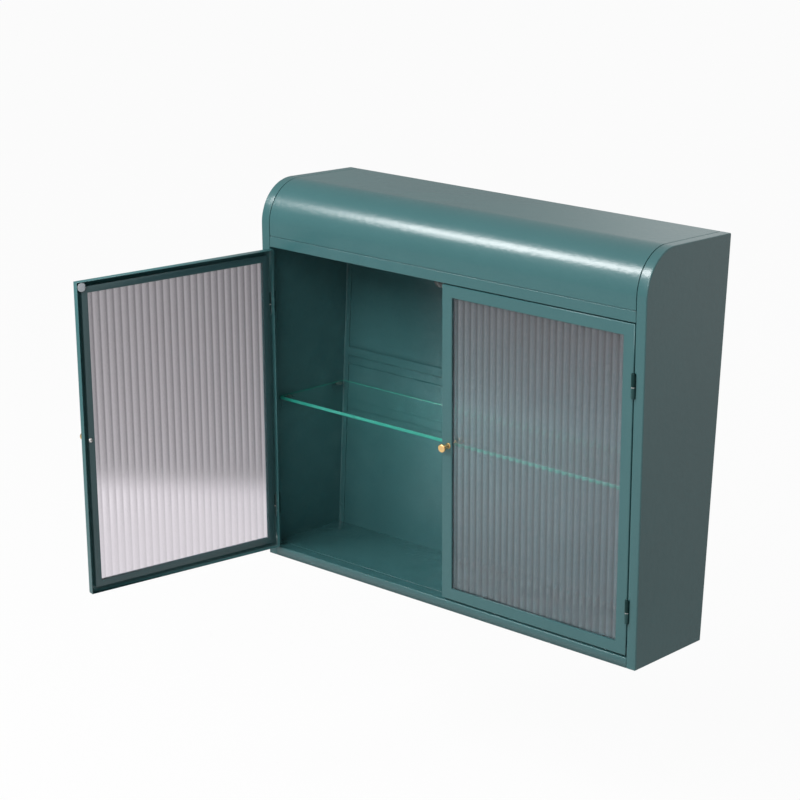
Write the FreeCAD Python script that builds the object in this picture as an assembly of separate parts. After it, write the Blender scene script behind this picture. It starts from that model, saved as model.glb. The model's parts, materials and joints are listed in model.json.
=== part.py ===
import FreeCAD, Part
import os
from math import asin, atan2, cos, degrees, hypot, pi, sin, tan
from FreeCAD import Vector

# Bathroom wall cabinet: a folded steel body under a curved hood, two doors of fluted glass and a shelf.
# Millimetres, X to the right, Y towards the wall, Z up. Everything is drawn from the bottom back edge of the
# body, and is moved at the end so that the origin lies between the two wall screws, on the wall.

# Body
body_width = 700.0
body_height = 600.0
top_depth = 200.0
bottom_depth = 165.0
hood_drop = 100.0  # from the top down to the edge over the doors
bend_radius = 62.0  # outside of the hood's curve
sheet = 1.0
band_width = 16.0  # front band that each side panel folds round to
lip_depth = 12.0  # second fold, behind the band
flange_width = 12.0  # folds at the back and the bottom
fold_radius = 1.5  # outside of a folded edge
side_fold_radius = 2.0  # outside of the side panels' long folds
seam = 0.4  # between folded sheets that lie side by side
side_seam = 0.9  # open joint between the side panels' bands and what stands between them
hood_seam = 1.2  # open joint between the hood and the rail under it
seam_edge = 0.6  # eased edges along the seams
fit = 0.3  # between pieces that lie loose in each other

# Rails over and under the doors, and the floor
hood_rail_face = 17.0
hood_rail_lap = 14.0  # how far the rail reaches up behind the hood
hood_rail_lip = 30.0
hood_rail_upturn = 8.0
bottom_rail_height = 15.0
bottom_rail_lip = 12.0
floor_depth = 145.0  # floor seen behind the ledge of the bottom rail
floor_lap = 7.0  # floor that lies on the ledge

# Back
back_joint = 284.0  # here the lower back panel steps out in front of the upper one
step_height = 1.2
lap_height = 13.0
flare_height = 13.0  # free edge of the lap, set forward once more
flare_depth = 2.4
hang_height = 545.0
hang_spacing = 500.0
hang_hole_radius = 3.25
back_rivet_rows = 3  # on each panel and side
back_rivet_end = 45.0

# Shelf
lower_bay = 235.0  # ledge to shelf
shelf_thickness = 5.0
shelf_depth = 150.0
shelf_side_gap = 1.5
shelf_chamfer = 0.6
bracket_length = 18.0
bracket_reach = 12.0
bracket_sheet = 1.2
bracket_inset = 16.0  # bracket's centre to the shelf's front or back edge
pad_radius = 5.0
pad_height = 2.0

# Doors
door_side_gap = 2.0
door_meeting_gap = 4.0
door_top_gap = 2.0
door_bottom_gap = 3.0
door_depth = 11.0
door_face = 18.0  # stiles and rails, seen from the front
left_door_angle = 105.0  # the left door stands open by this much
inner_fold = 3.4  # the face folds back round the glass by this much
glass_bite = 3.5  # glass behind the door's face
glass_crest = 3.6
glass_valley = 3.0
flute_pitch = 11.7
retainer_inset = 8.5

# Hinges
hinge_from_top = 86.0  # door's end to the middle of the hinge
hinge_from_bottom = 67.0
knuckle_radius = 3.0
door_knuckle = 19.0
frame_knuckle = 15.0
hinge_forward = 1.0  # the pin's axis lies this far in front of the doors
knuckle_notch = 1.0
leaf_sheet = 0.8
leaf_depth = 10.5
pin_radius = 1.5
pin_press = 0.02
pin_running = 0.05
pin_cap = 3.0  # metal left beyond each end of the pin
washer_height = 1.0
rivet_radius = 1.5
rivet_head_radius = 2.5
rivet_head = 0.8
hole_clearance = 0.05
hinge_rivet_span = 18.0
hinge_rivet_depth = 6.8

# Knobs, strikes and the magnetic catch
knob_length = 16.5
knob_radius = 6.2
knob_stem_radius = 3.6
knob_collar_radius = 4.3
knob_collar = 1.4
knob_head = 4.0
knob_rim = 0.8
knob_inset = 12.0  # door's free edge to the knob
knob_screw_radius = 1.95
knob_screw_head_radius = 3.6
knob_screw_head = 2.2
knob_thread = 9.0
strike_radius = 6.5
strike_inset = 8.0
strike_height = 2.6
catch_length = 44.0
catch_height = 11.0
catch_depth = 15.0
catch_corner = 10.0  # round lower corners, seen from the front
catch_screw_spacing = 10.0
catch_gap = 0.4
magnet_radius = 3.5
magnet_depth = 5.0
magnet_drop = 5.7  # from the rail's underside to the middle of the magnet
screw_radius = 1.6
screw_head_radius = 3.0
screw_head = 1.6
screw_tail = 4.0
fastener_sides = 8  # the small fasteners and their holes have flat sides
small_ring_sides = 12  # washers, pads and magnets too

# The front leans: it runs from the bottom edge to the hood's curve, which it meets in line
curve_y = bend_radius - top_depth
curve_z = body_height - bend_radius
lean = asin(bend_radius / hypot(bottom_depth + curve_y, curve_z)) - atan2(bottom_depth + curve_y, curve_z)

# Places that several pieces share
half_width = body_width / 2
band_x = half_width - band_width
hood_half = band_x - side_seam
inner_half = half_width - sheet - seam
hood_bottom = body_height - hood_drop
hood_edge = hood_bottom + hood_rail_face
floor_top = bottom_rail_height + sheet
shelf_bottom = bottom_rail_height + lower_bay
lap_low = back_joint + step_height
flare_low = lap_low + lap_height + step_height
flare_top = flare_low + flare_height
door_low = bottom_rail_height / cos(lean) + door_bottom_gap
door_high = hood_bottom / cos(lean) - door_top_gap
door_inner = door_meeting_gap / 2
door_outer = band_x - door_side_gap
door_middle = (door_low + door_high) / 2
axis_x = band_x - door_side_gap / 2
glass_inset = door_face - glass_bite
seal_front = inner_fold + fit - sheet
retainer_front = sheet + seal_front + glass_crest + hole_clearance * 2
retainer_back = retainer_front + sheet
hinge_length = door_knuckle + frame_knuckle
hinge_middles = {"upper": door_high - hinge_from_top, "lower": door_low + hinge_from_bottom}


# Small helpers

def block(low, high):
    size = Vector(*high) - Vector(*low)
    return Part.makeBox(size.x, size.y, size.z, Vector(*low))


def rod(start, direction, radius, length):
    return Part.makeCylinder(radius, length, Vector(*start), Vector(*direction))


def prism(start, direction, radius, length, sides):
    """A small round piece or hole with a few flat sides."""
    along = Vector(*direction)
    side = Vector(0, 0, 1) if abs(along.x) > 0.5 else Vector(1, 0, 0)
    other = along.cross(side)
    turns = [2 * pi * step / sides for step in range(sides)]
    corners = [Vector(*start) + side * (radius * cos(turn)) + other * (radius * sin(turn)) for turn in turns]
    return Part.Face(Part.makePolygon(corners + corners[:1])).extrude(along * length)


def join(first, *others):
    return first.fuse(list(others)).removeSplitter()


def mirrored(shape):
    return shape.mirror(Vector(0, 0, 0), Vector(1, 0, 0))


def both_sides(shape):
    return [shape, mirrored(shape)]


def across(face, low_x, high_x):
    moved = face.copy()
    moved.translate(Vector(low_x, 0, 0))
    return moved.extrude(Vector(high_x - low_x, 0, 0))


def outline(points):
    corners = [Vector(0, y, z) for y, z in points]
    return Part.Face(Part.makePolygon(corners + corners[:1]))


def leaning(shape):
    """Takes a piece from upright door axes (X, depth behind the front, height) to the leaning front."""
    placed = shape.copy()
    placed.rotate(Vector(0, 0, 0), Vector(1, 0, 0), degrees(lean))
    placed.translate(Vector(0, -bottom_depth, 0))
    return placed


def edges_where(shape, chosen):
    """Edges picked by a point halfway along them and by their box."""
    def halfway(edge):
        return edge.valueAt((edge.FirstParameter + edge.LastParameter) / 2)
    return [edge for edge in shape.Edges if chosen(halfway(edge), edge.BoundBox)]


def rounded(shape, radius, chosen):
    return shape.makeFillet(radius, edges_where(shape, chosen))


def save(name, *solids):
    shape = solids[0].copy() if len(solids) == 1 else Part.makeCompound([solid.copy() for solid in solids])
    shape.translate(Vector(0, 0, -hang_height))
    shape.exportStep("parts/" + name + ".step")


# The skin: the line that the leaning front, the curve and the top follow, at any depth inside it

def front_y(z, depth=0.0):
    return -bottom_depth - z * tan(lean) + depth / cos(lean)


def skin_depth(y, z):
    if y >= curve_y:
        return body_height - z
    from_curve = Vector(0, y - curve_y, z - curve_z)
    if from_curve.z < from_curve.y * tan(lean):
        return (y - front_y(z)) * cos(lean)
    return bend_radius - from_curve.Length


def skin_points(depth, low_z, back_y):
    radius = bend_radius - depth
    turns = [pi + lean, (1.5 * pi + lean) / 2, pi / 2]
    arc = [Vector(0, curve_y + radius * cos(turn), curve_z + radius * sin(turn)) for turn in turns]
    return Vector(0, front_y(low_z, depth), low_z), arc, Vector(0, back_y, body_height - depth)


def skin_edges(depth, low_z, back_y):
    foot, arc, back = skin_points(depth, low_z, back_y)
    curve = Part.Arc(*arc).toShape()
    return [Part.makeLine(foot, arc[0]), curve, Part.makeLine(arc[-1], back)], foot, back


def skin_strip(outer, inner, low_z, back_y):
    outside, outer_foot, outer_back = skin_edges(outer, low_z, back_y)
    inside, inner_foot, inner_back = skin_edges(inner, low_z, back_y)
    ends = [Part.makeLine(outer_back, inner_back), Part.makeLine(inner_foot, outer_foot)]
    return Part.Face(Part.Wire(Part.__sortEdges__(outside + inside + ends)))


def front_strip(outer, inner, low_z, high_z):
    return outline([(front_y(low_z, outer), low_z), (front_y(high_z, outer), high_z),
                    (front_y(high_z, inner), high_z), (front_y(low_z, inner), low_z)])


def outer_folds(middle, box):
    """Picks the right side panel's folds along the skin and at its foot."""
    at_foot = box.XMin > half_width - 1e-4 and box.ZMax < 1e-4
    return at_foot or skin_fold(half_width)(middle, box)


def skin_fold(x):
    """Picks the fold that follows the skin in the plane at x."""
    def chosen(middle, box):
        flat = abs(box.XMin - x) < 1e-4 and abs(box.XMax - x) < 1e-4
        on_skin = abs(skin_depth(middle.y, middle.z)) < 1e-3
        return flat and on_skin and box.YMin < -sheet * 2 and box.ZMax > sheet * 2
    return chosen


def front_edge(z):
    """Picks the long edge on the front at a height."""
    def chosen(middle, box):
        long = box.XLength > hood_half
        return long and abs(middle.z - z) < 1e-3 and abs(middle.y - front_y(z)) < 1e-3
    return chosen


# Fasteners

def rivet(face_point, direction, grip):
    """Flush at its face, with a formed head beyond the sheets that it grips."""
    far_end = Vector(*face_point) + Vector(*direction) * grip
    shank = prism(face_point, direction, rivet_radius, grip, fastener_sides)
    head = prism(far_end, direction, rivet_head_radius, rivet_head, fastener_sides)
    return join(shank, head)


def rivet_hole(face_point, direction, grip):
    return prism(face_point, direction, rivet_radius + hole_clearance, grip, fastener_sides)


def screw(seat, direction, grip):
    """Pan head seated on the first sheet, shank through the sheets that it grips."""
    crown = Vector(*seat) - Vector(*direction) * screw_head
    head = prism(crown, direction, screw_head_radius, screw_head, fastener_sides)
    return join(head, prism(seat, direction, screw_radius, grip + screw_tail, fastener_sides))


def screw_hole(seat, direction, grip):
    return prism(seat, direction, screw_radius + hole_clearance, grip, fastener_sides)


# Fastening places, which the holes and the fasteners share

def skin_screw_places():
    """Along the lips that hold the hood between the side panels: two under the top, one down the front."""
    under_top = body_height - lip_depth / 2
    front_z = (hood_edge + curve_z) / 2
    return [(-lip_depth * 3, under_top), (curve_y, under_top), (front_y(front_z, lip_depth / 2), front_z)]


def rail_screw_places():
    low_z = bottom_rail_height / 2
    high_z = hood_bottom + hood_rail_face / 2
    return [(front_y(z, lip_depth / 2), z) for z in (low_z, high_z)]


def lip_screws():
    return [(hood_half - sheet, y, z) for y, z in skin_screw_places() + rail_screw_places()]


def lip_grip():
    return 2 * sheet + side_seam


def floor_screws():
    x = half_width - flange_width / 2 - sheet
    return [(x, -floor_depth * share, 2 * sheet) for share in (0.2, 0.8)]


def back_rivet_heights(low_z, high_z):
    step = (high_z - low_z - 2 * back_rivet_end) / (back_rivet_rows - 1)
    return [low_z + back_rivet_end + step * row for row in range(back_rivet_rows)]


def back_rivets():
    x = half_width - flange_width / 2
    heights = back_rivet_heights(0, back_joint) + back_rivet_heights(flare_top, body_height)
    return [(x, 0, z) for z in heights]


# Side panels: one sheet, folded to a band along the front, the curve and the top, and again to a lip

def side_panel():
    edges, foot, top_back = skin_edges(0, 0, 0)
    corner = Vector(0, 0, 0)
    closing = [Part.makeLine(top_back, corner), Part.makeLine(corner, foot)]
    skin = across(Part.Face(Part.Wire(Part.__sortEdges__(edges + closing))), half_width - sheet, half_width)
    band = across(skin_strip(0, sheet, 0, 0), band_x, half_width)
    lip = across(skin_strip(0, lip_depth, 0, -sheet), band_x, band_x + sheet)
    back = block((half_width - flange_width, -2 * sheet, 0), (half_width, -sheet, body_height))
    base = block((half_width - flange_width, front_y(0), 0), (half_width, -sheet, sheet))
    pan = join(skin, band, lip, back, base)
    pan = rounded(pan, side_fold_radius, outer_folds)
    pan = pan.makeChamfer(seam_edge, edges_where(pan, skin_fold(band_x)))
    for middle in hinge_middles.values():
        pan = pan.cut(leaning(hinge_notch(middle)))
        places = frame_rivet_places(middle)
        pan = pan.cut([leaning(rivet_hole(place, (1, 0, 0), leaf_sheet + sheet)) for place in places])
    pan = pan.cut([screw_hole(place, (1, 0, 0), lip_grip()) for place in lip_screws()])
    pan = pan.cut([screw_hole(place, (0, 0, -1), 2 * sheet) for place in floor_screws()])
    return pan.cut([rivet_hole(place, (0, -1, 0), 2 * sheet) for place in back_rivets()])


# Hood: top, curve and front in one sheet, with lips that screw to the lips of the side panels

def hood_panel():
    shell = across(skin_strip(0, sheet, hood_edge, 0), -hood_half, hood_half)
    lip = across(skin_strip(0, lip_depth, hood_edge, -sheet), hood_half - sheet, hood_half)
    back = block((-hood_half, -2 * sheet, body_height - lip_depth), (hood_half, -sheet, body_height))
    hood = join(shell, back, *both_sides(lip))
    for x in (-hood_half, hood_half):
        hood = hood.makeChamfer(seam_edge, edges_where(hood, skin_fold(x)))
    hood = rounded(hood, seam_edge, front_edge(hood_edge))
    holes = [screw_hole(place, (1, 0, 0), lip_grip()) for place in lip_screws()]
    return hood.cut(holes + [mirrored(hole) for hole in holes])


def end_plates(low_z, high_z):
    plate = across(front_strip(0, lip_depth, low_z, high_z), hood_half - sheet, hood_half)
    for place in lip_screws():
        plate = plate.cut(screw_hole(place, (1, 0, 0), lip_grip()))
    return both_sides(plate)


# Rail over the doors: it carries on the hood's front and laps behind it, and its deep lip holds the catch

def hood_rail():
    rail_top = hood_edge - hood_seam
    face = across(front_strip(0, sheet, hood_bottom, rail_top), -hood_half, hood_half)
    lap_half = hood_half - sheet - fit
    lap = across(front_strip(sheet, 2 * sheet, hood_bottom, hood_edge + hood_rail_lap), -lap_half, lap_half)
    lip_back = front_y(hood_bottom) + hood_rail_lip
    upturn = hood_bottom + hood_rail_upturn
    lip_line = [(front_y(hood_bottom), hood_bottom), (lip_back, hood_bottom), (lip_back, upturn),
                (lip_back - sheet, upturn), (lip_back - sheet, hood_bottom + sheet),
                (front_y(hood_bottom + sheet), hood_bottom + sheet)]
    lip = across(outline(lip_line), -hood_half, hood_half)
    rail = join(face, lap, lip, *end_plates(hood_bottom, rail_top))
    rail = rounded(rail, fold_radius / 2, front_edge(hood_bottom))
    rail = rounded(rail, seam_edge, front_edge(rail_top))
    return rail.cut([screw_hole(place, (0, 0, 1), sheet) for place in catch_screw_places(hood_bottom)])


# Rail under the doors: front, ledge and bottom fold, closed at its ends

def bottom_rail():
    face = across(front_strip(0, sheet, 0, bottom_rail_height), -hood_half, hood_half)
    ledge_back = -floor_depth + floor_lap
    ledge_under = bottom_rail_height - sheet
    ledge_line = [(front_y(bottom_rail_height), bottom_rail_height), (ledge_back, bottom_rail_height),
                  (ledge_back, ledge_under), (front_y(ledge_under), ledge_under)]
    ledge = across(outline(ledge_line), -hood_half, hood_half)
    under_back = front_y(0) + bottom_rail_lip
    under_line = [(front_y(0), 0), (under_back, 0), (under_back, sheet), (front_y(sheet), sheet)]
    under = across(outline(under_line), -hood_half, hood_half)
    rail = join(face, ledge, under, *end_plates(0, bottom_rail_height))
    return rounded(rail, fold_radius, front_edge(bottom_rail_height))


# Floor: a sheet that lies on the ledge, folded down at its sides and back, on the side panels' flanges

def floor_panel():
    front = -floor_depth
    back = -2 * sheet - fit
    plate = block((-inner_half, front, floor_top - sheet), (inner_half, back, floor_top))
    side = block((inner_half - sheet, front, sheet), (inner_half, back, floor_top))
    foot = block((half_width - flange_width, front, sheet), (inner_half, back, 2 * sheet))
    rear = block((-inner_half, back - sheet, 2 * sheet + fit), (inner_half, back, floor_top))
    holes = [screw_hole(place, (0, 0, -1), sheet) for place in floor_screws()]
    tray = join(plate, rear, *both_sides(side), *both_sides(foot))

    def front_top(middle, box):
        return box.XLength > inner_half and middle.y < front + 1e-3 and middle.z > floor_top - 1e-3
    tray = rounded(tray, seam_edge, front_top)
    return tray.cut(holes + [mirrored(hole) for hole in holes])


# Back: two sheets behind the side panels' flanges; the lower one laps in front of the upper one, and the
# free edge of the lap is set forward once more

def back_holes():
    holes = [rivet_hole(place, (0, -1, 0), sheet) for place in back_rivets()]
    return holes + [mirrored(hole) for hole in holes]


def lower_back_panel():
    lap = sheet + hole_clearance * 2
    flare = lap + flare_depth
    steps = [(0, back_joint), (-lap, lap_low), (-lap, lap_low + lap_height), (-flare, flare_low)]
    behind = [(0, back_joint - lap_height)] + steps + [(-flare, flare_top)]
    in_front = [(-sheet - flare, flare_top)] + [(y - sheet, z - sheet / 2) for y, z in reversed(steps)]
    profile = outline(behind + in_front + [(-sheet, back_joint - lap_height)])
    between_flanges = half_width - flange_width - seam
    folded = across(profile, -between_flanges, between_flanges)
    plate = block((-inner_half, -sheet, sheet + fit), (inner_half, 0, back_joint - sheet))
    return join(plate, folded).cut(back_holes())


def upper_back_panel():
    plate = block((-inner_half, -sheet, lap_low + fit), (inner_half, 0, body_height - sheet - fit))
    hang_hole = rod((hang_spacing / 2, 0, hang_height), (0, -1, 0), hang_hole_radius, sheet)
    return plate.cut(back_holes() + both_sides(hang_hole))


# Shelf: a glass plate on soft pads, on four angle brackets fixed to the side panels

def glass_shelf():
    half = half_width - sheet - shelf_side_gap
    back = -2 * sheet - fit
    plate = block((-half, back - shelf_depth, shelf_bottom), (half, back, shelf_bottom + shelf_thickness))
    return plate.makeChamfer(shelf_chamfer, plate.Edges)


def bracket_places():
    back = -2 * sheet - fit
    return [back - bracket_inset, back - shelf_depth + bracket_inset]


def shelf_bracket(y):
    top = shelf_bottom - pad_height
    wall = half_width - sheet
    low_y = y - bracket_length / 2
    high_y = y + bracket_length / 2
    shelf = block((wall - bracket_reach, low_y, top - bracket_sheet), (wall, high_y, top))
    upright = block((wall - bracket_sheet, low_y, top - bracket_reach), (wall, high_y, top))
    return join(shelf, upright)


def shelf_pad(y):
    foot = (half_width - sheet - bracket_reach / 2, y, shelf_bottom - pad_height)
    return prism(foot, (0, 0, 1), pad_radius, pad_height, small_ring_sides)


# Magnetic catch: a housing under the hood rail's lip, behind the doors' top corners, with a magnet for each

def catch_screw_places(seat_z):
    y = front_y(hood_bottom, door_depth + catch_gap) + catch_depth * 0.7
    return [(side * catch_screw_spacing / 2, y, seat_z) for side in (-1, 1)]


def catch_magnet(side):
    x = side * (door_inner + strike_inset)
    centre = (x, door_depth + catch_gap, hood_bottom / cos(lean) - magnet_drop)
    return leaning(prism(centre, (0, 1, 0), magnet_radius, magnet_depth, small_ring_sides))


def catch_housing():
    low_z = hood_bottom - catch_height
    face = door_depth + catch_gap
    back = front_y(hood_bottom, face) + catch_depth
    profile = outline([(front_y(low_z, face), low_z), (front_y(hood_bottom, face), hood_bottom),
                       (back, hood_bottom), (back, low_z)])
    body = across(profile, -catch_length / 2, catch_length / 2)

    def lower_corner(middle, box):
        return box.YLength > catch_depth / 2 and box.ZMax < low_z + 1e-3
    body = rounded(body, catch_corner, lower_corner)
    body = body.cut([screw_hole(place, (0, 0, 1), catch_height) for place in catch_screw_places(low_z)])
    return body.cut([catch_magnet(side) for side in (-1, 1)])


# Hinges: lift-off hinges in notches of band and door, drawn on upright door axes for the right door

def hinge_notch(middle):
    foot = (axis_x, -hinge_forward, middle - hinge_length / 2 - knuckle_notch)
    return rod(foot, (0, 0, 1), knuckle_radius + knuckle_notch, hinge_length + 2 * knuckle_notch)


def hinge_split(middle):
    return middle - hinge_length / 2 + frame_knuckle


def leaf(middle, low_x, knuckle_low, knuckle_high):
    plate_front = knuckle_radius + knuckle_notch - hinge_forward
    bottom = middle - hinge_length / 2
    plate = block((low_x, plate_front, bottom), (low_x + leaf_sheet, leaf_depth, bottom + hinge_length))
    root = block((low_x, -hinge_forward, knuckle_low), (low_x + leaf_sheet, plate_front, knuckle_high))
    foot = (axis_x, -hinge_forward, knuckle_low)
    barrel = rod(foot, (0, 0, 1), knuckle_radius, knuckle_high - knuckle_low)
    return join(plate, root, barrel)


def rivet_places(middle, x):
    return [(x, hinge_rivet_depth, middle + side * hinge_rivet_span / 2) for side in (-1, 1)]


def frame_rivet_places(middle):
    return rivet_places(middle, band_x - leaf_sheet)


def door_rivet_places(middle):
    return rivet_places(middle, door_outer + leaf_sheet)


def hinge_base(middle):
    split = hinge_split(middle)
    low = middle - hinge_length / 2
    base = leaf(middle, band_x - leaf_sheet, low, split)
    bore = rod((axis_x, -hinge_forward, low + pin_cap), (0, 0, 1), pin_radius + pin_press, frame_knuckle)
    holes = [rivet_hole(place, (1, 0, 0), leaf_sheet) for place in frame_rivet_places(middle)]
    return base.cut([bore] + holes)


def hinge_pin(middle):
    low = middle - hinge_length / 2 + pin_cap
    return rod((axis_x, -hinge_forward, low), (0, 0, 1), pin_radius, hinge_length - 2 * pin_cap - fit)


def hinge_washer(middle):
    foot = (axis_x, -hinge_forward, hinge_split(middle))
    ring = prism(foot, (0, 0, 1), knuckle_radius - fit, washer_height, small_ring_sides)
    bore_radius = (pin_radius + pin_running) / cos(pi / small_ring_sides)
    return ring.cut(prism(foot, (0, 0, 1), bore_radius, washer_height, small_ring_sides))


def hinge_leaf(middle):
    foot = hinge_split(middle) + washer_height + fit
    high = middle + hinge_length / 2
    piece = leaf(middle, door_outer, foot, high)
    bore = rod((axis_x, -hinge_forward, foot), (0, 0, 1), pin_radius + pin_running, high - pin_cap - foot)
    holes = [rivet_hole(place, (-1, 0, 0), leaf_sheet) for place in door_rivet_places(middle)]
    return piece.cut([bore] + holes)


# Doors: drawn closed on upright door axes for the right door

def door_ring(outer_inset, inner_inset, front, back):
    """Frame that keeps its distances from the door's edge all round."""
    def plate(inset):
        low = (door_inner + inset, front, door_low + inset)
        return block(low, (door_outer - inset, back, door_high - inset))
    return plate(outer_inset).cut(plate(inner_inset))


def knob_place(depth):
    return (door_inner + knob_inset, depth, door_middle)


def knob_hole(low, high):
    radius = knob_screw_radius + hole_clearance * 4
    return prism(knob_place(low), (0, 1, 0), radius, high - low, fastener_sides)


def door_frame():
    face = door_ring(0, door_face, 0, sheet)
    wall = door_ring(0, sheet, 0, door_depth)
    round_glass = door_ring(door_face - sheet, door_face, 0, inner_fold)
    pan = rounded(join(face, wall, round_glass), fold_radius, lambda middle, box: box.YMax < 1e-3)
    pan = pan.cut(knob_hole(-sheet, 2 * sheet))
    for middle in hinge_middles.values():
        places = door_rivet_places(middle)
        holes = [rivet_hole(place, (-1, 0, 0), leaf_sheet + sheet) for place in places]
        pan = pan.cut([hinge_notch(middle)] + holes)
    return pan


def glazing_seal():
    outer = retainer_inset + sheet + hole_clearance * 2
    lip = door_ring(outer, door_face - sheet - hole_clearance * 2, sheet, sheet + seal_front)
    edge = door_ring(outer, glass_inset - hole_clearance * 2, sheet, sheet + seal_front + glass_valley)
    return join(lip, edge).cut(knob_hole(0, door_depth))


def door_glass():
    """Flat outside, with a row of round flutes inside."""
    low_x = door_inner + glass_inset
    high_x = door_outer - glass_inset
    flutes = round((high_x - low_x) / flute_pitch)
    step = (high_x - low_x) / flutes
    foot = door_low + glass_inset
    flat = sheet + seal_front

    def point(x, thickness):
        return Vector(x, flat + thickness, foot)
    edges = [Part.makeLine(point(low_x, glass_valley), point(low_x, 0)),
             Part.makeLine(point(low_x, 0), point(high_x, 0)),
             Part.makeLine(point(high_x, 0), point(high_x, glass_valley))]
    for flute in range(flutes):
        x = low_x + step * flute
        crest = point(x + step / 2, glass_crest)
        edges.append(Part.Arc(point(x, glass_valley), crest, point(x + step, glass_valley)).toShape())
    profile = Part.Face(Part.Wire(Part.__sortEdges__(edges)))
    return profile.extrude(Vector(0, 0, door_high - glass_inset - foot))


def glass_retainer():
    band = door_ring(retainer_inset, door_face, retainer_front, retainer_back)
    leg = door_ring(retainer_inset, retainer_inset + sheet, sheet, retainer_back)
    return join(band, leg).cut(knob_hole(sheet, door_depth))


def knob():
    """Turned in one piece: collar, stem and a disc with eased rims, bored from behind for its screw."""
    neck = knob_length - knob_head
    steps = [(0, 0), (knob_collar_radius, 0), (knob_collar_radius, knob_collar),
             (knob_stem_radius, knob_collar), (knob_stem_radius, neck),
             (knob_radius, neck), (knob_radius, knob_length), (0, knob_length)]
    corners = [Vector(radius, -forward, 0) for radius, forward in steps]
    section = Part.Face(Part.makePolygon(corners + corners[:1]))
    turned = section.revolve(Vector(0, 0, 0), Vector(0, 1, 0), 360)
    rims = edges_where(turned, lambda middle, box: box.XLength > knob_radius * 1.9 and box.YLength < 1e-3)
    turned = turned.makeChamfer(knob_rim, rims)
    bore_radius = knob_screw_radius + hole_clearance
    turned = turned.cut(prism((0, 0, 0), (0, -1, 0), bore_radius, knob_thread + fit, fastener_sides))
    turned.translate(Vector(*knob_place(0)))
    return turned


def knob_screw():
    seat = knob_place(retainer_back)
    shank = prism(seat, (0, -1, 0), knob_screw_radius, retainer_back + knob_thread, fastener_sides)
    return join(shank, prism(seat, (0, 1, 0), knob_screw_head_radius, knob_screw_head, fastener_sides))


def strike():
    place = (door_inner + strike_inset, retainer_back, door_high - strike_inset)
    return rod(place, (0, 1, 0), strike_radius, strike_height)


# Putting it together: the right door is closed and the left one stands open about its hinge pins

def on_right(shape):
    return leaning(shape)


def on_left(shape):
    return leaning(mirrored(shape))


def on_left_door(shape):
    placed = on_left(shape)
    pin_foot = on_left(Part.Vertex(axis_x, -hinge_forward, 0)).Point
    placed.rotate(pin_foot, Vector(0, -sin(lean), cos(lean)), -left_door_angle)
    return placed


def save_door(side, placed, framed):
    save(side + "_door_frame", placed(door_frame()))
    save(side + "_glazing_seal", placed(glazing_seal()))
    save(side + "_door_glass", placed(door_glass()))
    save(side + "_glass_retainer", placed(glass_retainer()))
    save(side + "_knob", placed(knob()))
    save(side + "_knob_screw", placed(knob_screw()))
    save(side + "_strike", placed(strike()))
    for level, middle in hinge_middles.items():
        save(side + "_" + level + "_hinge_leaf", placed(hinge_leaf(middle)))
        save(side + "_" + level + "_hinge_base", framed(hinge_base(middle)))
        save(side + "_" + level + "_hinge_pin", framed(hinge_pin(middle)))
    middles = hinge_middles.values()
    save(side + "_hinge_washers", *[framed(hinge_washer(middle)) for middle in middles])
    grip = leaf_sheet + sheet
    save(side + "_band_rivets", *[framed(rivet(place, (1, 0, 0), grip))
                                  for middle in middles for place in frame_rivet_places(middle)])
    save(side + "_door_rivets", *[placed(rivet(place, (-1, 0, 0), grip))
                                  for middle in middles for place in door_rivet_places(middle)])


os.makedirs("parts", exist_ok=True)

right_panel = side_panel()
save("right_side_panel", right_panel)
save("left_side_panel", mirrored(right_panel))
save("hood_panel", hood_panel())
save("hood_rail", hood_rail())
save("bottom_rail", bottom_rail())
save("floor_panel", floor_panel())
save("lower_back_panel", lower_back_panel())
save("upper_back_panel", upper_back_panel())

right_lip_screws = [screw(place, (1, 0, 0), lip_grip()) for place in lip_screws()]
save("lip_screws", *right_lip_screws, *[mirrored(piece) for piece in right_lip_screws])
right_floor_screws = [screw(place, (0, 0, -1), 2 * sheet - screw_tail) for place in floor_screws()]
save("floor_screws", *right_floor_screws, *[mirrored(piece) for piece in right_floor_screws])
right_back_rivets = [rivet(place, (0, -1, 0), 2 * sheet) for place in back_rivets()]
save("back_rivets", *right_back_rivets, *[mirrored(piece) for piece in right_back_rivets])

save("glass_shelf", glass_shelf())
right_brackets = [shelf_bracket(y) for y in bracket_places()]
right_pads = [shelf_pad(y) for y in bracket_places()]
save("shelf_brackets", *right_brackets, *[mirrored(piece) for piece in right_brackets])
save("shelf_pads", *right_pads, *[mirrored(piece) for piece in right_pads])

save("catch_housing", catch_housing())
save("catch_magnets", *[catch_magnet(side) for side in (-1, 1)])
catch_seat = hood_bottom - catch_height
catch_grip = catch_height + sheet
save("catch_screws", *[screw(place, (0, 0, 1), catch_grip) for place in catch_screw_places(catch_seat)])

save_door("right", on_right, on_right)
save_door("left", on_left_door, on_left)
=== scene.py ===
import json
from math import cos, radians, sin

import bmesh
import bpy
from mathutils import Matrix, Vector


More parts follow.
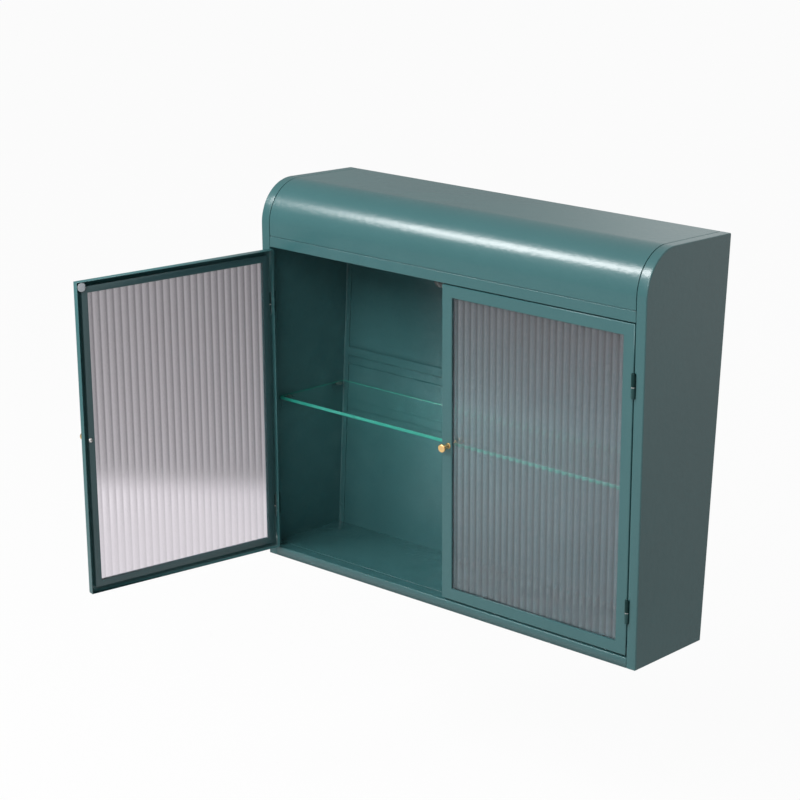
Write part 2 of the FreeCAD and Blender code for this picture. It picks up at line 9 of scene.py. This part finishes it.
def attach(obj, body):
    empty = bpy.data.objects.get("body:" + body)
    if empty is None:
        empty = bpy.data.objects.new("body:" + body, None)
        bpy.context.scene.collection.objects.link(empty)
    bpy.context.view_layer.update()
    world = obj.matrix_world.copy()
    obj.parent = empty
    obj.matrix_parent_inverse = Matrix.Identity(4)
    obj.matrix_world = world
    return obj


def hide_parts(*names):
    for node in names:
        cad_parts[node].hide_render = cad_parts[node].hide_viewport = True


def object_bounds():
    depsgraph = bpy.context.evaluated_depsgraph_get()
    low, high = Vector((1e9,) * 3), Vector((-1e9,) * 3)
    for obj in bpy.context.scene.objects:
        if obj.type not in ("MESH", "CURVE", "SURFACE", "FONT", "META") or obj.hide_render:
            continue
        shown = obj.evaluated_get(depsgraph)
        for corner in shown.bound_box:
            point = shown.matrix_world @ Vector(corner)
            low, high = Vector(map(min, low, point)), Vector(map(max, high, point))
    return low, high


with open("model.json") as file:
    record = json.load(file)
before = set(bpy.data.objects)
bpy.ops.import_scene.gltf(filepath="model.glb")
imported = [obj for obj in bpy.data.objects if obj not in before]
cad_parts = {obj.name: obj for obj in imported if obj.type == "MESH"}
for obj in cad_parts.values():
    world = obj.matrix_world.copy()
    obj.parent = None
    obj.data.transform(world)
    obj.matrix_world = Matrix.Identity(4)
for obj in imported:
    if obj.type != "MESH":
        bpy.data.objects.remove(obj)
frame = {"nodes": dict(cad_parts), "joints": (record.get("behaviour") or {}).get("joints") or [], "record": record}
cad_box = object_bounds()

# Steel body: side panels, hood, rails, floor, back and shelf brackets, each one sheet folded on a press.
# The panels are riveted and screwed together. Their dark teal powder coat is baked to a skin with a soft
# gloss, slow waves, a fine orange peel and a slight drift of tone.

record = frame["record"]
body_of = {node: body for body, nodes in record["behaviour"]["bodies"].items() for node in nodes}
weld_distance = 1e-6
# Edges that turn by more than these angles stay sharp
fold_angle = radians(50)
lap_angle = radians(30)


class Signal:
    """A socket of a node tree that takes part in arithmetic: each operation adds a Math node."""

    def __init__(self, tree, socket):
        self.tree = tree
        self.socket = socket

    def plug(self, socket, value):
        """Sets a value or links a signal; a list of signals goes into a socket that takes many."""
        if isinstance(value, list):
            for signal in value:
                self.plug(socket, signal)
        elif isinstance(value, Signal):
            self.tree.links.new(value.socket, socket)
        else:
            socket.default_value = value

    def node(self, kind, settings, inputs, output=0):
        """Any other node: its type, its settings, then the values or links of its sockets."""
        made = self.tree.nodes.new(kind)
        for name, value in settings.items():
            setattr(made, name, value)
        for name, value in inputs.items():
            self.plug(made.inputs[name], value)
        return Signal(self.tree, made.outputs[output])

    def hand_out(self, kind):
        """Links the signal to a new output node of the tree."""
        self.plug(self.tree.nodes.new(kind).inputs[0], self)

    def math(self, operation, first, second=0.0):
        return self.node("ShaderNodeMath", {"operation": operation}, {0: first, 1: second})

    def __add__(self, other):
        return self.math("ADD", self, other)

    __radd__ = __add__

    def __sub__(self, other):
        return self.math("SUBTRACT", self, other)

    def __rsub__(self, other):
        return self.math("SUBTRACT", other, self)

    def __mul__(self, other):
        return self.math("MULTIPLY", self, other)

    def __truediv__(self, other):
        return self.math("DIVIDE", self, other)

    def vector(self, x=0.0, y=0.0, z=0.0):
        return self.node("ShaderNodeCombineXYZ", {}, {0: x, 1: y, 2: z})

    def along(self, direction):
        """How far a place lies in a direction."""
        inputs = {0: self, 1: direction}
        return self.node("ShaderNodeVectorMath", {"operation": "DOT_PRODUCT"}, inputs, "Value")

    def ramp(self, start, end, first, last):
        """Goes smoothly from the first value to the last while the signal goes from start to end."""
        return self.node("ShaderNodeMapRange", {"interpolation_type": "SMOOTHSTEP"}, {
            "Value": self, "From Min": start, "From Max": end, "To Min": first, "To Max": last})

    def noise(self, scale, detail=2.0):
        return self.node("ShaderNodeTexNoise", {}, {"Vector": self, "Scale": scale, "Detail": detail})

    def blend(self, factor, dark, light):
        """A colour between two colours; 6, 7 and 2 are the colour sockets of the Mix node."""
        inputs = {0: factor, 6: (*dark, 1.0), 7: (*light, 1.0)}
        return self.node("ShaderNodeMix", {"data_type": "RGBA"}, inputs, 2)

    def relief(self, height, strength, depth):
        inputs = {"Height": height, "Strength": strength, "Distance": depth}
        return self.node("ShaderNodeBump", {}, inputs, "Normal")


def empty_tree(owner):
    """The node tree of a new material or world, with nothing in it."""
    owner.use_nodes = True
    owner.node_tree.nodes.clear()
    return owner.node_tree


def new_finish(name, **constants):
    """A material with one Principled shader: returns it, the place on the piece, and a way to set sockets."""
    finish = bpy.data.materials.new(name)
    tree = empty_tree(finish)
    shader = tree.nodes.new("ShaderNodeBsdfPrincipled")
    Signal(tree, shader.outputs["BSDF"]).hand_out("ShaderNodeOutputMaterial")
    place = Signal(tree, tree.nodes.new("ShaderNodeTexCoord").outputs["Object"])

    def set_sockets(**values):
        for socket, value in values.items():
            place.plug(shader.inputs[socket.replace("_", " ")], value)

    set_sockets(**constants)
    return finish, place, set_sockets


def show(name, data):
    """A new object in the scene."""
    shown = bpy.data.objects.new(name, data)
    bpy.context.scene.collection.objects.link(shown)
    return shown


def plain_mesh(carrier):
    """The mesh that an object's modifiers make of it; the object itself goes."""
    depsgraph = bpy.context.evaluated_depsgraph_get()
    mesh = bpy.data.meshes.new_from_object(carrier.evaluated_get(depsgraph))
    carrier.modifiers.clear()
    bpy.data.objects.remove(carrier)
    return mesh


def smooth_mesh(mesh, sharp_angle):
    """Shades a welded mesh smooth, keeping its folds sharp and its flat sheets flat."""
    mesh.shade_smooth()
    mesh.set_sharp_from_angle(angle=sharp_angle)
    carrier = show(mesh.name, mesh)
    weighted = carrier.modifiers.new("flat sheets stay flat", "WEIGHTED_NORMAL")
    weighted.keep_sharp = True
    return plain_mesh(carrier)


def add_piece(name, mesh, finish, node):
    """Puts a finished mesh in the scene, on the body of the node that it stands for, in place of the node."""
    mesh.materials.clear()
    mesh.materials.append(finish)
    piece = show(name, mesh)
    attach(piece, body_of[node])
    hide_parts(node)
    return piece


def welded_copy(node):
    """A node's loose triangles, welded at their corners."""
    welded = bmesh.new()
    welded.from_mesh(frame["nodes"][node].data)
    bmesh.ops.remove_doubles(welded, verts=welded.verts, dist=weld_distance)
    return welded


def smooth_piece(node, finish, sharp_angle=fold_angle):
    """A welded copy of a node with smooth bends, in its finish."""
    welded = welded_copy(node)
    mesh = bpy.data.meshes.new(node + "_skin")
    welded.to_mesh(mesh)
    welded.free()
    return add_piece(node + "_skin", smooth_mesh(mesh, sharp_angle), finish, node)


def sprayed_coat(name, dark, light, gloss):
    """Powder coat that drifts between two tones, with slow waves and a fine orange peel."""
    finish, place, set_sockets = new_finish(name, Specular_IOR_Level=gloss)
    drift = place.noise(scale=7.0)
    waves = place.noise(scale=130.0)
    orange_peel = place.noise(scale=520.0)
    grain = place.noise(scale=2600.0)
    skin = waves * 2.2 + orange_peel * 0.25 + grain * 0.1
    set_sockets(
        Base_Color=place.blend(drift, dark, light),
        Roughness=0.22 + drift * 0.06 + grain * 0.05,
        Normal=place.relief(skin, strength=0.4, depth=0.00025))
    return finish


powder_coat = sprayed_coat(
    "teal_powder_coat", dark=(0.033, 0.107, 0.113), light=(0.039, 0.122, 0.128), gloss=0.5)
for node in ("left_side_panel", "right_side_panel", "hood_panel", "hood_rail", "bottom_rail", "floor_panel",
             "shelf_brackets"):
    smooth_piece(node, powder_coat)
for node in ("lower_back_panel", "upper_back_panel"):
    smooth_piece(node, powder_coat, lap_angle)

# Fasteners of the body: rivets through the back flanges and the hinge bases, and pan-head screws in the lips,
# the floor and the catch. The rivets are coated with the body, and the screws are zinc-plated steel with a
# crossed recess.

head_sides = 28
head_rings = 16
rim_angle = radians(40)
# The bars that cut a recess, in widths of a bar, and its bottom as a share of the head's height
bar_length = 5.0
bar_depth = 3.0
recess_bottom = 0.45
rivet_head = {"Head radius": 0.0025, "Head height": 0.0008, "Shank radius": 0.0015, "Recess": 0.0}
screw_head = {"Head radius": 0.003, "Head height": 0.0016, "Shank radius": 0.0016, "Recess": 0.0006}
forward = Vector((0, -1, 0))
upward = Vector((0, 0, 1))
rightward = Vector((1, 0, 0))

zinc_plate, place, set_sockets = new_finish("zinc_plate", Metallic=1.0)
bloom = place.noise(scale=900.0, detail=4.0)
set_sockets(
    Base_Color=place.blend(bloom, dark=(0.42, 0.42, 0.41), light=(0.62, 0.62, 0.6)),
    Roughness=0.24 + bloom * 0.22,
    Normal=place.relief(place.noise(scale=6000.0), strength=0.08, depth=0.0001))


def start_tree(name, sizes):
    """A Geometry Nodes tree that takes a mesh, named sizes and a finish; returns it and those inputs."""
    tree = bpy.data.node_groups.new(name, "GeometryNodeTree")
    tree.interface.new_socket("Geometry", in_out="INPUT", socket_type="NodeSocketGeometry")
    for size in sizes:
        tree.interface.new_socket(size, in_out="INPUT", socket_type="NodeSocketFloat")
    tree.interface.new_socket("Finish", in_out="INPUT", socket_type="NodeSocketMaterial")
    tree.interface.new_socket("Geometry", in_out="OUTPUT", socket_type="NodeSocketGeometry")
    entry = tree.nodes.new("NodeGroupInput")
    return tree, {socket.name: Signal(tree, socket) for socket in entry.outputs if socket.name}


def end_tree(shape, finish):
    """Makes a tree's instances real, gives them their finish and hands them out."""
    real = shape.node("GeometryNodeRealizeInstances", {}, {"Geometry": shape})
    finished = shape.node("GeometryNodeSetMaterial", {}, {"Geometry": real, "Material": finish})
    finished.hand_out("NodeGroupOutput")


def fastener_tree():
    """Domed heads on shanks, stood on points and aimed by the points' own directions."""
    tree, given = start_tree(
        "domed fasteners", ("Head radius", "Head height", "Shank radius", "Shank length", "Recess"))
    points = given["Geometry"]
    radius = given["Head radius"]
    height = given["Head height"]
    length = given["Shank length"]
    recess = given["Recess"]
    ball = points.node("GeometryNodeMeshUVSphere", {}, {
        "Segments": head_sides, "Rings": head_rings, "Radius": 1.0})
    position = points.node("GeometryNodeInputPosition", {}, {})
    parts = points.node("ShaderNodeSeparateXYZ", {}, {0: position})
    x, y, z = [Signal(tree, socket) for socket in parts.socket.node.outputs]
    dome = points.vector(x * radius, y * radius, points.math("MAXIMUM", z, 0.0) * height)
    head = points.node("GeometryNodeSetPosition", {}, {"Geometry": ball, "Position": dome})
    raised = points.vector(z=height * recess_bottom + recess * (bar_depth / 2))
    bars = []
    for across, along in ((bar_length, 1.0), (1.0, bar_length)):
        size = points.vector(recess * across, recess * along, recess * bar_depth)
        bar = points.node("GeometryNodeMeshCube", {}, {"Size": size})
        bars.append(points.node("GeometryNodeTransform", {}, {"Geometry": bar, "Translation": raised}))
    crossed = points.node(
        "GeometryNodeMeshBoolean", {"operation": "DIFFERENCE"}, {"Mesh 1": head, "Mesh 2": bars}, "Mesh")
    rod = points.node("GeometryNodeMeshCylinder", {}, {
        "Vertices": head_sides, "Radius": given["Shank radius"], "Depth": length})
    shank = points.node("GeometryNodeTransform", {}, {
        "Geometry": rod, "Translation": points.vector(z=length * -0.5)})
    whole = points.node("GeometryNodeJoinGeometry", {}, {0: [crossed, shank]})
    aim = points.node("GeometryNodeInputNamedAttribute", {"data_type": "FLOAT_VECTOR"}, {"Name": "aim"})
    turned = points.node("FunctionNodeAlignRotationToVector", {"axis": "Z"}, {"Vector": aim})
    stood = points.node("GeometryNodeInstanceOnPoints", {}, {
        "Points": points, "Instance": whole, "Rotation": turned})
    end_tree(stood, given["Finish"])
    return tree


def run_tree(tree, mesh, inputs):
    """Gives a tree its inputs, runs it on a mesh and returns the result as a plain mesh."""
    carrier = show(mesh.name, mesh)
    modifier = carrier.modifiers.new(tree.name, "NODES")
    modifier.node_group = tree
    for item in tree.interface.items_tree:
        if item.in_out == "INPUT" and item.name in inputs:
            modifier[item.identifier] = inputs[item.name]
    return plain_mesh(carrier)


def separate_solids(node):
    """The corner points of each solid in a node."""
    welded = welded_copy(node)
    seen = set()
    solids = []
    for first in welded.verts:
        if first in seen:
            continue
        seen.add(first)
        front = [first]
        solid = []
        while front:
            corner = front.pop()
            solid.append(corner.co.copy())
            others = [edge.other_vert(corner) for edge in corner.link_edges]
            fresh = [other for other in others if other not in seen]
            seen.update(fresh)
            front += fresh
        solids.append(solid)
    welded.free()
    return solids


def stand_fasteners(node, way, head, finish, mirrored=False):
    """Domed fasteners in place of a node's plain ones; mirrored ones face the other way on the left."""
    seats = []
    aims = []
    lengths = []
    for solid in separate_solids(node):
        low = Vector(min(corner[i] for corner in solid) for i in range(3))
        high = Vector(max(corner[i] for corner in solid) for i in range(3))
        centre = (low + high) / 2
        aim = -way if mirrored and centre.x < 0 else way
        reach = [corner.dot(aim) for corner in solid]
        seats.append(centre + aim * (max(reach) - head["Head height"] - centre.dot(aim)))
        aims.append(aim)
        lengths.append(max(reach) - min(reach))
    points = bpy.data.meshes.new(node + "_heads")
    points.from_pydata(seats, [], [])
    points.attributes.new("aim", "FLOAT_VECTOR", "POINT")
    points.attributes["aim"].data.foreach_set("vector", [value for aim in aims for value in aim])
    mesh = run_tree(domed_fasteners, points, {
        **head, "Shank length": max(lengths) - head["Head height"], "Finish": finish})
    add_piece(node + "_heads", smooth_mesh(mesh, rim_angle), finish, node)


domed_fasteners = fastener_tree()
stand_fasteners("back_rivets", forward, rivet_head, powder_coat)
stand_fasteners("lip_screws", -rightward, screw_head, zinc_plate, mirrored=True)
stand_fasteners("floor_screws", upward, screw_head, zinc_plate)
stand_fasteners("catch_screws", -upward, screw_head, zinc_plate)
for side in ("left", "right"):
    stand_fasteners(side + "_band_rivets", rightward, rivet_head, powder_coat, mirrored=True)

# Shelf: a plate of float glass, green where one looks along it, with ground and polished edges.
# It lies loose on soft clear pads, which are stuck to the brackets.

pane_edge_angle = radians(20)
pane_normal = 0.9


def rays(tree):
    """What kind of ray is looking, as signals by name."""
    light_path = tree.nodes.new("ShaderNodeLightPath")
    return {socket.name: Signal(tree, socket) for socket in light_path.outputs}


def let_light_through(finish, tint):
    """Lamps shine through the glass, weakened by its tint, instead of being stopped by it."""
    tree = finish.node_tree
    glass = Signal(tree, tree.nodes["Principled BSDF"].outputs["BSDF"])
    clear = glass.node("ShaderNodeBsdfTransparent", {}, {"Color": tint})
    mixed = glass.node("ShaderNodeMixShader", {}, {0: rays(tree)["Is Shadow Ray"], 1: glass, 2: clear})
    mixed.plug(tree.nodes["Material Output"].inputs["Surface"], mixed)


shelf_glass, place, set_sockets = new_finish(
    "shelf_glass", Transmission_Weight=1.0, IOR=1.5, Base_Color=(0.93, 0.985, 0.965, 1.0))
set_sockets(Roughness=0.01 + place.noise(scale=300.0) * 0.015)
let_light_through(shelf_glass, tint=(0.9, 0.95, 0.93, 1.0))

ground_edge, place, set_sockets = new_finish("ground_glass_edge", Transmission_Weight=0.25, IOR=1.5)
streaks = place.noise(scale=60.0, detail=3.0)
set_sockets(
    Base_Color=place.blend(streaks, dark=(0.018, 0.26, 0.2), light=(0.042, 0.44, 0.34)),
    Roughness=0.16 + streaks * 0.12,
    Normal=place.relief(place.noise(scale=900.0), strength=0.05, depth=0.0002))

shelf = smooth_piece("glass_shelf", shelf_glass, pane_edge_angle)
shelf.data.materials.append(ground_edge)
for face in shelf.data.polygons:
    face.material_index = 0 if abs(face.normal.z) > pane_normal else 1

pad_finish, place, set_sockets = new_finish("soft_clear_pad", Transmission_Weight=0.9, IOR=1.45)
cloud = place.noise(scale=700.0)
set_sockets(
    Base_Color=place.blend(cloud, dark=(0.42, 0.62, 0.58), light=(0.52, 0.7, 0.66)),
    Roughness=0.35 + cloud * 0.2)
smooth_piece("shelf_pads", pad_finish)

# Magnetic catch: a moulded plastic housing screwed up under the hood rail, with a bare magnet for each door.
# The housing is dark grey with the fine spark texture of its mould.

moulded_plastic, place, set_sockets = new_finish("moulded_plastic")
spark = place.noise(scale=3200.0, detail=3.0)
set_sockets(
    Base_Color=place.blend(place.noise(scale=80.0), dark=(0.07, 0.082, 0.078), light=(0.09, 0.105, 0.1)),
    Roughness=0.5 + spark * 0.15,
    Normal=place.relief(spark, strength=0.25, depth=0.0002))
smooth_piece("catch_housing", moulded_plastic)

magnet_grey, place, set_sockets = new_finish("sintered_magnet")
pores = place.noise(scale=1500.0, detail=4.0)
set_sockets(
    Base_Color=place.blend(pores, dark=(0.05, 0.05, 0.052), light=(0.09, 0.09, 0.092)),
    Roughness=0.45 + pores * 0.2,
    Normal=place.relief(pores, strength=0.15, depth=0.0002))
smooth_piece("catch_magnets", magnet_grey)

# Doors: a pan of folded steel, coated as the body, that holds fluted glass in a black rubber seal.
# A folded retainer, in the body's coat painted darker as painted shade, presses the glass from behind, and rivets
# fix the hinges to the pan.
# The strike is a disc of bare rolled steel for the magnet.

# Painted shade: the retainer's coat is a darker copy of the body's coat
retainer_painted_shade_coat = sprayed_coat(
    "retainer_painted_shade_coat", dark=(0.027, 0.066, 0.072), light=(0.033, 0.077, 0.083), gloss=0.5)

black_rubber, place, set_sockets = new_finish("black_rubber", Specular_IOR_Level=0.2)
bloom = place.noise(scale=240.0, detail=4.0)
set_sockets(
    Base_Color=place.blend(bloom, dark=(0.006, 0.013, 0.013), light=(0.012, 0.021, 0.021)),
    Roughness=0.55 + bloom * 0.25,
    Normal=place.relief(place.noise(scale=2500.0), strength=0.15, depth=0.0002))

rolled_steel, place, set_sockets = new_finish("rolled_steel", Metallic=1.0)
scale_marks = place.noise(scale=420.0, detail=5.0)
set_sockets(
    Base_Color=place.blend(scale_marks, dark=(0.36, 0.39, 0.42), light=(0.5, 0.53, 0.56)),
    Roughness=0.3 + scale_marks * 0.2,
    Normal=place.relief(scale_marks, strength=0.06, depth=0.0002))

# Each door's own directions at rest: across, inward and up. It is shut at the low end of its joint's range
door_axes = {}
for joint in frame["joints"]:
    side = "left" if joint["pos_m"][0] < 0 else "right"
    axis = Vector(joint["axis"]).normalized()
    up = axis if axis.z > 0 else -axis
    swing = radians(-joint["range_deg"][0])
    wide = Matrix.Rotation(swing, 3, axis) @ rightward
    door_axes[side] = (wide, up.cross(wide), up)

for side, (wide, inward, up) in door_axes.items():
    smooth_piece(side + "_door_frame", powder_coat)
    smooth_piece(side + "_glass_retainer", retainer_painted_shade_coat)
    smooth_piece(side + "_glazing_seal", black_rubber)
    smooth_piece(side + "_strike", rolled_steel)
    from_hinge = -wide if side == "right" else wide
    stand_fasteners(side + "_door_rivets", from_hinge, rivet_head, powder_coat)

# Fluted glass: cast plate, flat outside and rolled inside with upright round flutes, a little grey.
# Each flute is a lens. Its colour holds painted light: a lighter flank towards the lamps, and painted shade
# as a thin dark line in every valley between two of them.

flutes = 26
steps_per_flute = 14
valley_angle = radians(25)
edge_margin = 1e-5
valley_sharpness = 8.0
painted_valley_shade = 0.7
mean_painted_shade = 0.45
# The open door's glass stands before the bright floor, so the painted shading of its flutes is weaker in
# its lower part, which looks almost even
painted_contrast_at_bottom = {"left": 0.3, "right": 1.0}
# Shares of the height between which the painted shading grows to its full strength
contrast_low = 0.1
contrast_high = 0.4


def flute_tree():
    """A glass plate whose section is flat in front and a row of arcs behind, drawn out to its height."""
    tree, given = start_tree("fluted plate", ("Width", "Height", "Valley", "Crest", "Flutes", "Steps"))
    start = given["Geometry"]
    last = given["Flutes"] * given["Steps"]
    line = start.node("GeometryNodeMeshLine", {}, {"Count": last + 3.0})
    index = start.node("GeometryNodeInputIndex", {}, {})
    after_corner = start.math("MAXIMUM", (index - 1.0) / given["Steps"], 0.0)
    along = start.math("MINIMUM", after_corner, given["Flutes"])
    share = start.math("FRACT", along)
    arc = given["Valley"] + (given["Crest"] - given["Valley"]) * 4.0 * share * (1.0 - share)
    on_flutes = start.math("GREATER_THAN", index, 0.5) * start.math("LESS_THAN", index, last + 1.5)
    section = start.vector(along / given["Flutes"] * given["Width"], arc * on_flutes)
    drawn = start.node("GeometryNodeSetPosition", {}, {"Geometry": line, "Position": section})
    outline = start.node("GeometryNodeMeshToCurve", {}, {"Mesh": drawn})
    closed = start.node("GeometryNodeSetSplineCyclic", {}, {"Geometry": outline, "Cyclic": True})
    base = start.node("GeometryNodeFillCurve", {}, {"Curve": closed})
    rise = start.vector(z=given["Height"])
    walls = start.node("GeometryNodeExtrudeMesh", {"mode": "FACES"}, {
        "Mesh": base, "Offset": rise, "Offset Scale": 1.0, "Individual": False})
    under = start.node("GeometryNodeFlipFaces", {}, {"Mesh": base})
    whole = start.node("GeometryNodeJoinGeometry", {}, {0: [walls, under]})
    welded = start.node("GeometryNodeMergeByDistance", {}, {"Geometry": whole, "Distance": weld_distance})
    end_tree(welded, given["Finish"])
    return tree


def fluted_painted_light_finish(side, wide, start, pitch, up, bottom, height):
    """Grey-tinted glass; each flute's colour is painted lighter on the flank towards the lamps and painted dark in
    its valleys.
    """
    finish, place, set_sockets = new_finish(side + "_fluted_glass_painted_light", Transmission_Weight=0.97, IOR=1.5)
    share = place.math("FRACT", (place.along(wide) - start) / pitch)
    painted_lit_flank = share if side == "left" else 1.0 - share
    from_crest = place.math("ABSOLUTE", share - 0.5) * 2.0
    valley = place.math("POWER", from_crest, valley_sharpness)
    painted_shading_contrast = place.along(up).ramp(
        start=bottom + height * contrast_low, end=bottom + height * contrast_high,
        first=painted_contrast_at_bottom[side], last=1.0)
    # Painted light and shade: the lit flank, the dark valley lines and their contrast, which grows with height
    painted_shade = mean_painted_shade + (painted_lit_flank * (1.0 - valley * painted_valley_shade) - mean_painted_shade) * painted_shading_contrast
    set_sockets(
        Base_Color=place.blend(painted_shade, dark=(0.46, 0.43, 0.465), light=(0.99, 0.94, 1.0)),
        Roughness=0.05 + place.noise(scale=90.0) * 0.05)
    let_light_through(finish, tint=(0.7, 0.7, 0.7, 1.0))
    return finish


def standing(origin, *directions):
    """The matrix of something that stands at a point with its own axes in the given directions."""
    return Matrix.Translation(origin) @ Matrix(directions).transposed().to_4x4()


fluted_plate = flute_tree()
for side, (wide, inward, up) in door_axes.items():
    node = side + "_door_glass"
    corners = [vertex.co for vertex in frame["nodes"][node].data.vertices]
    lows = [min(corner.dot(way) for corner in corners) for way in (wide, inward, up)]
    highs = [max(corner.dot(way) for corner in corners) for way in (wide, inward, up)]
    width, crest, height = [high - low for low, high in zip(lows, highs)]
    edge = [corner.dot(inward) for corner in corners if corner.dot(wide) < lows[0] + edge_margin]
    finish = fluted_painted_light_finish(side, wide, lows[0], width / flutes, up, lows[2], height)
    mesh = run_tree(fluted_plate, bpy.data.meshes.new(node + "_plate"), {
        "Width": width, "Height": height, "Valley": max(edge) - lows[1], "Crest": crest,
        "Flutes": float(flutes), "Steps": float(steps_per_flute), "Finish": finish})
    mesh.transform(standing(wide * lows[0] + inward * lows[1] + up * lows[2], wide, inward, up))
    plate = bmesh.new()
    plate.from_mesh(mesh)
    bmesh.ops.recalc_face_normals(plate, faces=plate.faces)
    plate.to_mesh(mesh)
    plate.free()
    mesh.shade_smooth()
    mesh.set_sharp_from_angle(angle=valley_angle)
    add_piece(node + "_plate", mesh, finish, node)

# Knobs: turned brass with a flat disc for a head, lacquered over fine turning marks.
# Each is held by one screw from inside the door, through the retainer.

knob_screw_head = {"Head radius": 0.0036, "Head height": 0.0022, "Shank radius": 0.0019, "Recess": 0.0007}

turned_brass, place, set_sockets = new_finish("turned_brass", Metallic=1.0)
marks = place.noise(scale=1800.0, detail=3.0)
set_sockets(
    Base_Color=place.blend(place.noise(scale=140.0), dark=(0.78, 0.48, 0.19), light=(0.95, 0.66, 0.31)),
    Roughness=0.16 + marks * 0.12,
    Normal=place.relief(marks, strength=0.1, depth=0.0001))

for side, (wide, inward, up) in door_axes.items():
    smooth_piece(side + "_knob", turned_brass)
    stand_fasteners(side + "_knob_screw", inward, knob_screw_head, zinc_plate)

# Hinges: lift-off hinges of bent steel strip, their coat painted darker than the body as painted shade, the leaf
# more than the base. The door's knuckle turns on a steel pin that is fast in the frame's knuckle, and a pale
# plastic washer lies between the two.

# Painted shade: the hinge coats are darker copies of the body's coat, the leaves darker than the bases
leaf_painted_shade_coat = sprayed_coat(
    "leaf_coat_painted_shade", dark=(0.006, 0.026, 0.025), light=(0.009, 0.034, 0.033), gloss=0.1)
base_painted_shade_coat = sprayed_coat(
    "base_coat_painted_shade", dark=(0.015, 0.055, 0.055), light=(0.02, 0.067, 0.067), gloss=0.2)

pale_plastic, place, set_sockets = new_finish("pale_plastic")
cloud = place.noise(scale=300.0)
set_sockets(
    Base_Color=place.blend(cloud, dark=(0.42, 0.43, 0.42), light=(0.52, 0.53, 0.52)),
    Roughness=0.4 + cloud * 0.15)

for side in door_axes:
    for level in ("upper", "lower"):
        smooth_piece(side + "_" + level + "_hinge_base", base_painted_shade_coat)
        smooth_piece(side + "_" + level + "_hinge_leaf", leaf_painted_shade_coat)
        smooth_piece(side + "_" + level + "_hinge_pin", zinc_plate)
    smooth_piece(side + "_hinge_washers", pale_plastic)

# Stage: a pale floor below the hung cabinet, a white surround, a broad lamp high in front, and a strip lamp
# up to the left that lies as a narrow light along the hood's curve.
# The camera stands where the photograph was taken from.

camera_turn = radians(39.4935)
camera_rise = radians(15.0997)
camera_roll = radians(2.1914)
camera_distance = 3.35569
camera_target = Vector((-0.14727, -0.1, -0.265764))
floor_drop = 0.3
floor_reach = 30.0
white = (1.0, 1.0, 1.0, 1.0)
pale_grey = (0.7, 0.7, 0.7, 1.0)
direct_white = 0.96
ambient = 0.18

away = Vector((-sin(camera_turn), cos(camera_turn), 0.0))
back = upward * sin(camera_rise) - away * cos(camera_rise)
level = (-back).cross(upward).normalized()
over = level.cross(-back)
image_right = level * cos(camera_roll) + over * sin(camera_roll)
image_up = over * cos(camera_roll) - level * sin(camera_roll)
camera_data = bpy.data.cameras.new("camera")
camera_data.lens = 99.306
camera_data.sensor_width = 36.0
camera = show("camera", camera_data)
camera.matrix_world = standing(camera_target + back * camera_distance, image_right, image_up, back)
bpy.context.scene.camera = camera

floor_level = cad_box[0].z - floor_drop
floor_mesh = bpy.data.meshes.new("floor")
quarters = ((-1, -1), (1, -1), (1, 1), (-1, 1))
floor_mesh.from_pydata(
    [(x * floor_reach, y * floor_reach, floor_level) for x, y in quarters], [], [(0, 1, 2, 3)])
floor = show("floor", floor_mesh)
floor_finish = bpy.data.materials.new("pale_floor")
tree = empty_tree(floor_finish)
place = Signal(tree, tree.nodes.new("ShaderNodeTexCoord").outputs["Object"])
looking = rays(tree)
through_glass = looking["Is Transmission Ray"]
mirrored = looking["Is Glossy Ray"] * (1.0 - through_glass)
# Painted light: seen through glass, the floor glows white near the cabinet and greyer farther back
painted_light_near_cabinet = place.along(away).ramp(start=1.3, end=1.52, first=0.95, last=0.16)
# Painted light: mirrored in the right side, the floor glows brighter farther out
painted_light_farther_right = place.along(rightward).ramp(start=0.9, end=2.5, first=0.4, last=0.95)
white_share = looking["Is Camera Ray"] * direct_white + mirrored * painted_light_farther_right + through_glass * painted_light_near_cabinet
matt = place.node("ShaderNodeBsdfDiffuse", {}, {"Color": pale_grey})
glow = place.node("ShaderNodeEmission", {}, {"Color": white, "Strength": 1.0})
mixed = place.node("ShaderNodeMixShader", {}, {0: white_share, 1: matt, 2: glow})
mixed.hand_out("ShaderNodeOutputMaterial")
floor_mesh.materials.append(floor_finish)

# The surround is white to the camera, weak as a light, and brighter to the right in what the coats mirror
world = bpy.data.worlds.new("surround")
bpy.context.scene.world = world
tree = empty_tree(world)
way = Signal(tree, tree.nodes.new("ShaderNodeTexCoord").outputs["Generated"])
looking = rays(tree)
right_white = way.along(rightward).ramp(start=-0.58, end=-0.52, first=0.4, last=0.95)
to_camera = looking["Is Camera Ray"] * (1.0 - ambient)
to_coats = looking["Is Glossy Ray"] * (right_white - ambient)
surround = way.node("ShaderNodeBackground", {}, {"Color": white, "Strength": ambient + to_camera + to_coats})
surround.hand_out("ShaderNodeOutputWorld")


def add_lamp(name, aim, way, distance, wide, high, energy):
    """A broad soft lamp that looks at a point from the given way, with its long side along the cabinet."""
    way = Vector(way).normalized()
    long_side = (rightward - way * way.x).normalized()
    data = bpy.data.lights.new(name, "AREA")
    data.shape = "RECTANGLE"
    data.size = wide
    data.size_y = high
    data.energy = energy
    lamp = show(name, data)
    lamp.matrix_world = standing(Vector(aim) + way * distance, long_side, way.cross(long_side), way)


add_lamp("strip over the hood", aim=(0.27, -0.19, 0.02), way=(-0.58, -0.565, 0.585), distance=2.6,
         wide=1.0, high=0.5, energy=50.0)
add_lamp("front lamp", aim=(0.0, -0.1, -0.25), way=(0.13, -0.8, 0.52), distance=3.2,
         wide=2.2, high=1.2, energy=74.0)

bpy.context.scene.view_settings.view_transform = "Standard"

bpy.context.view_layer.update()
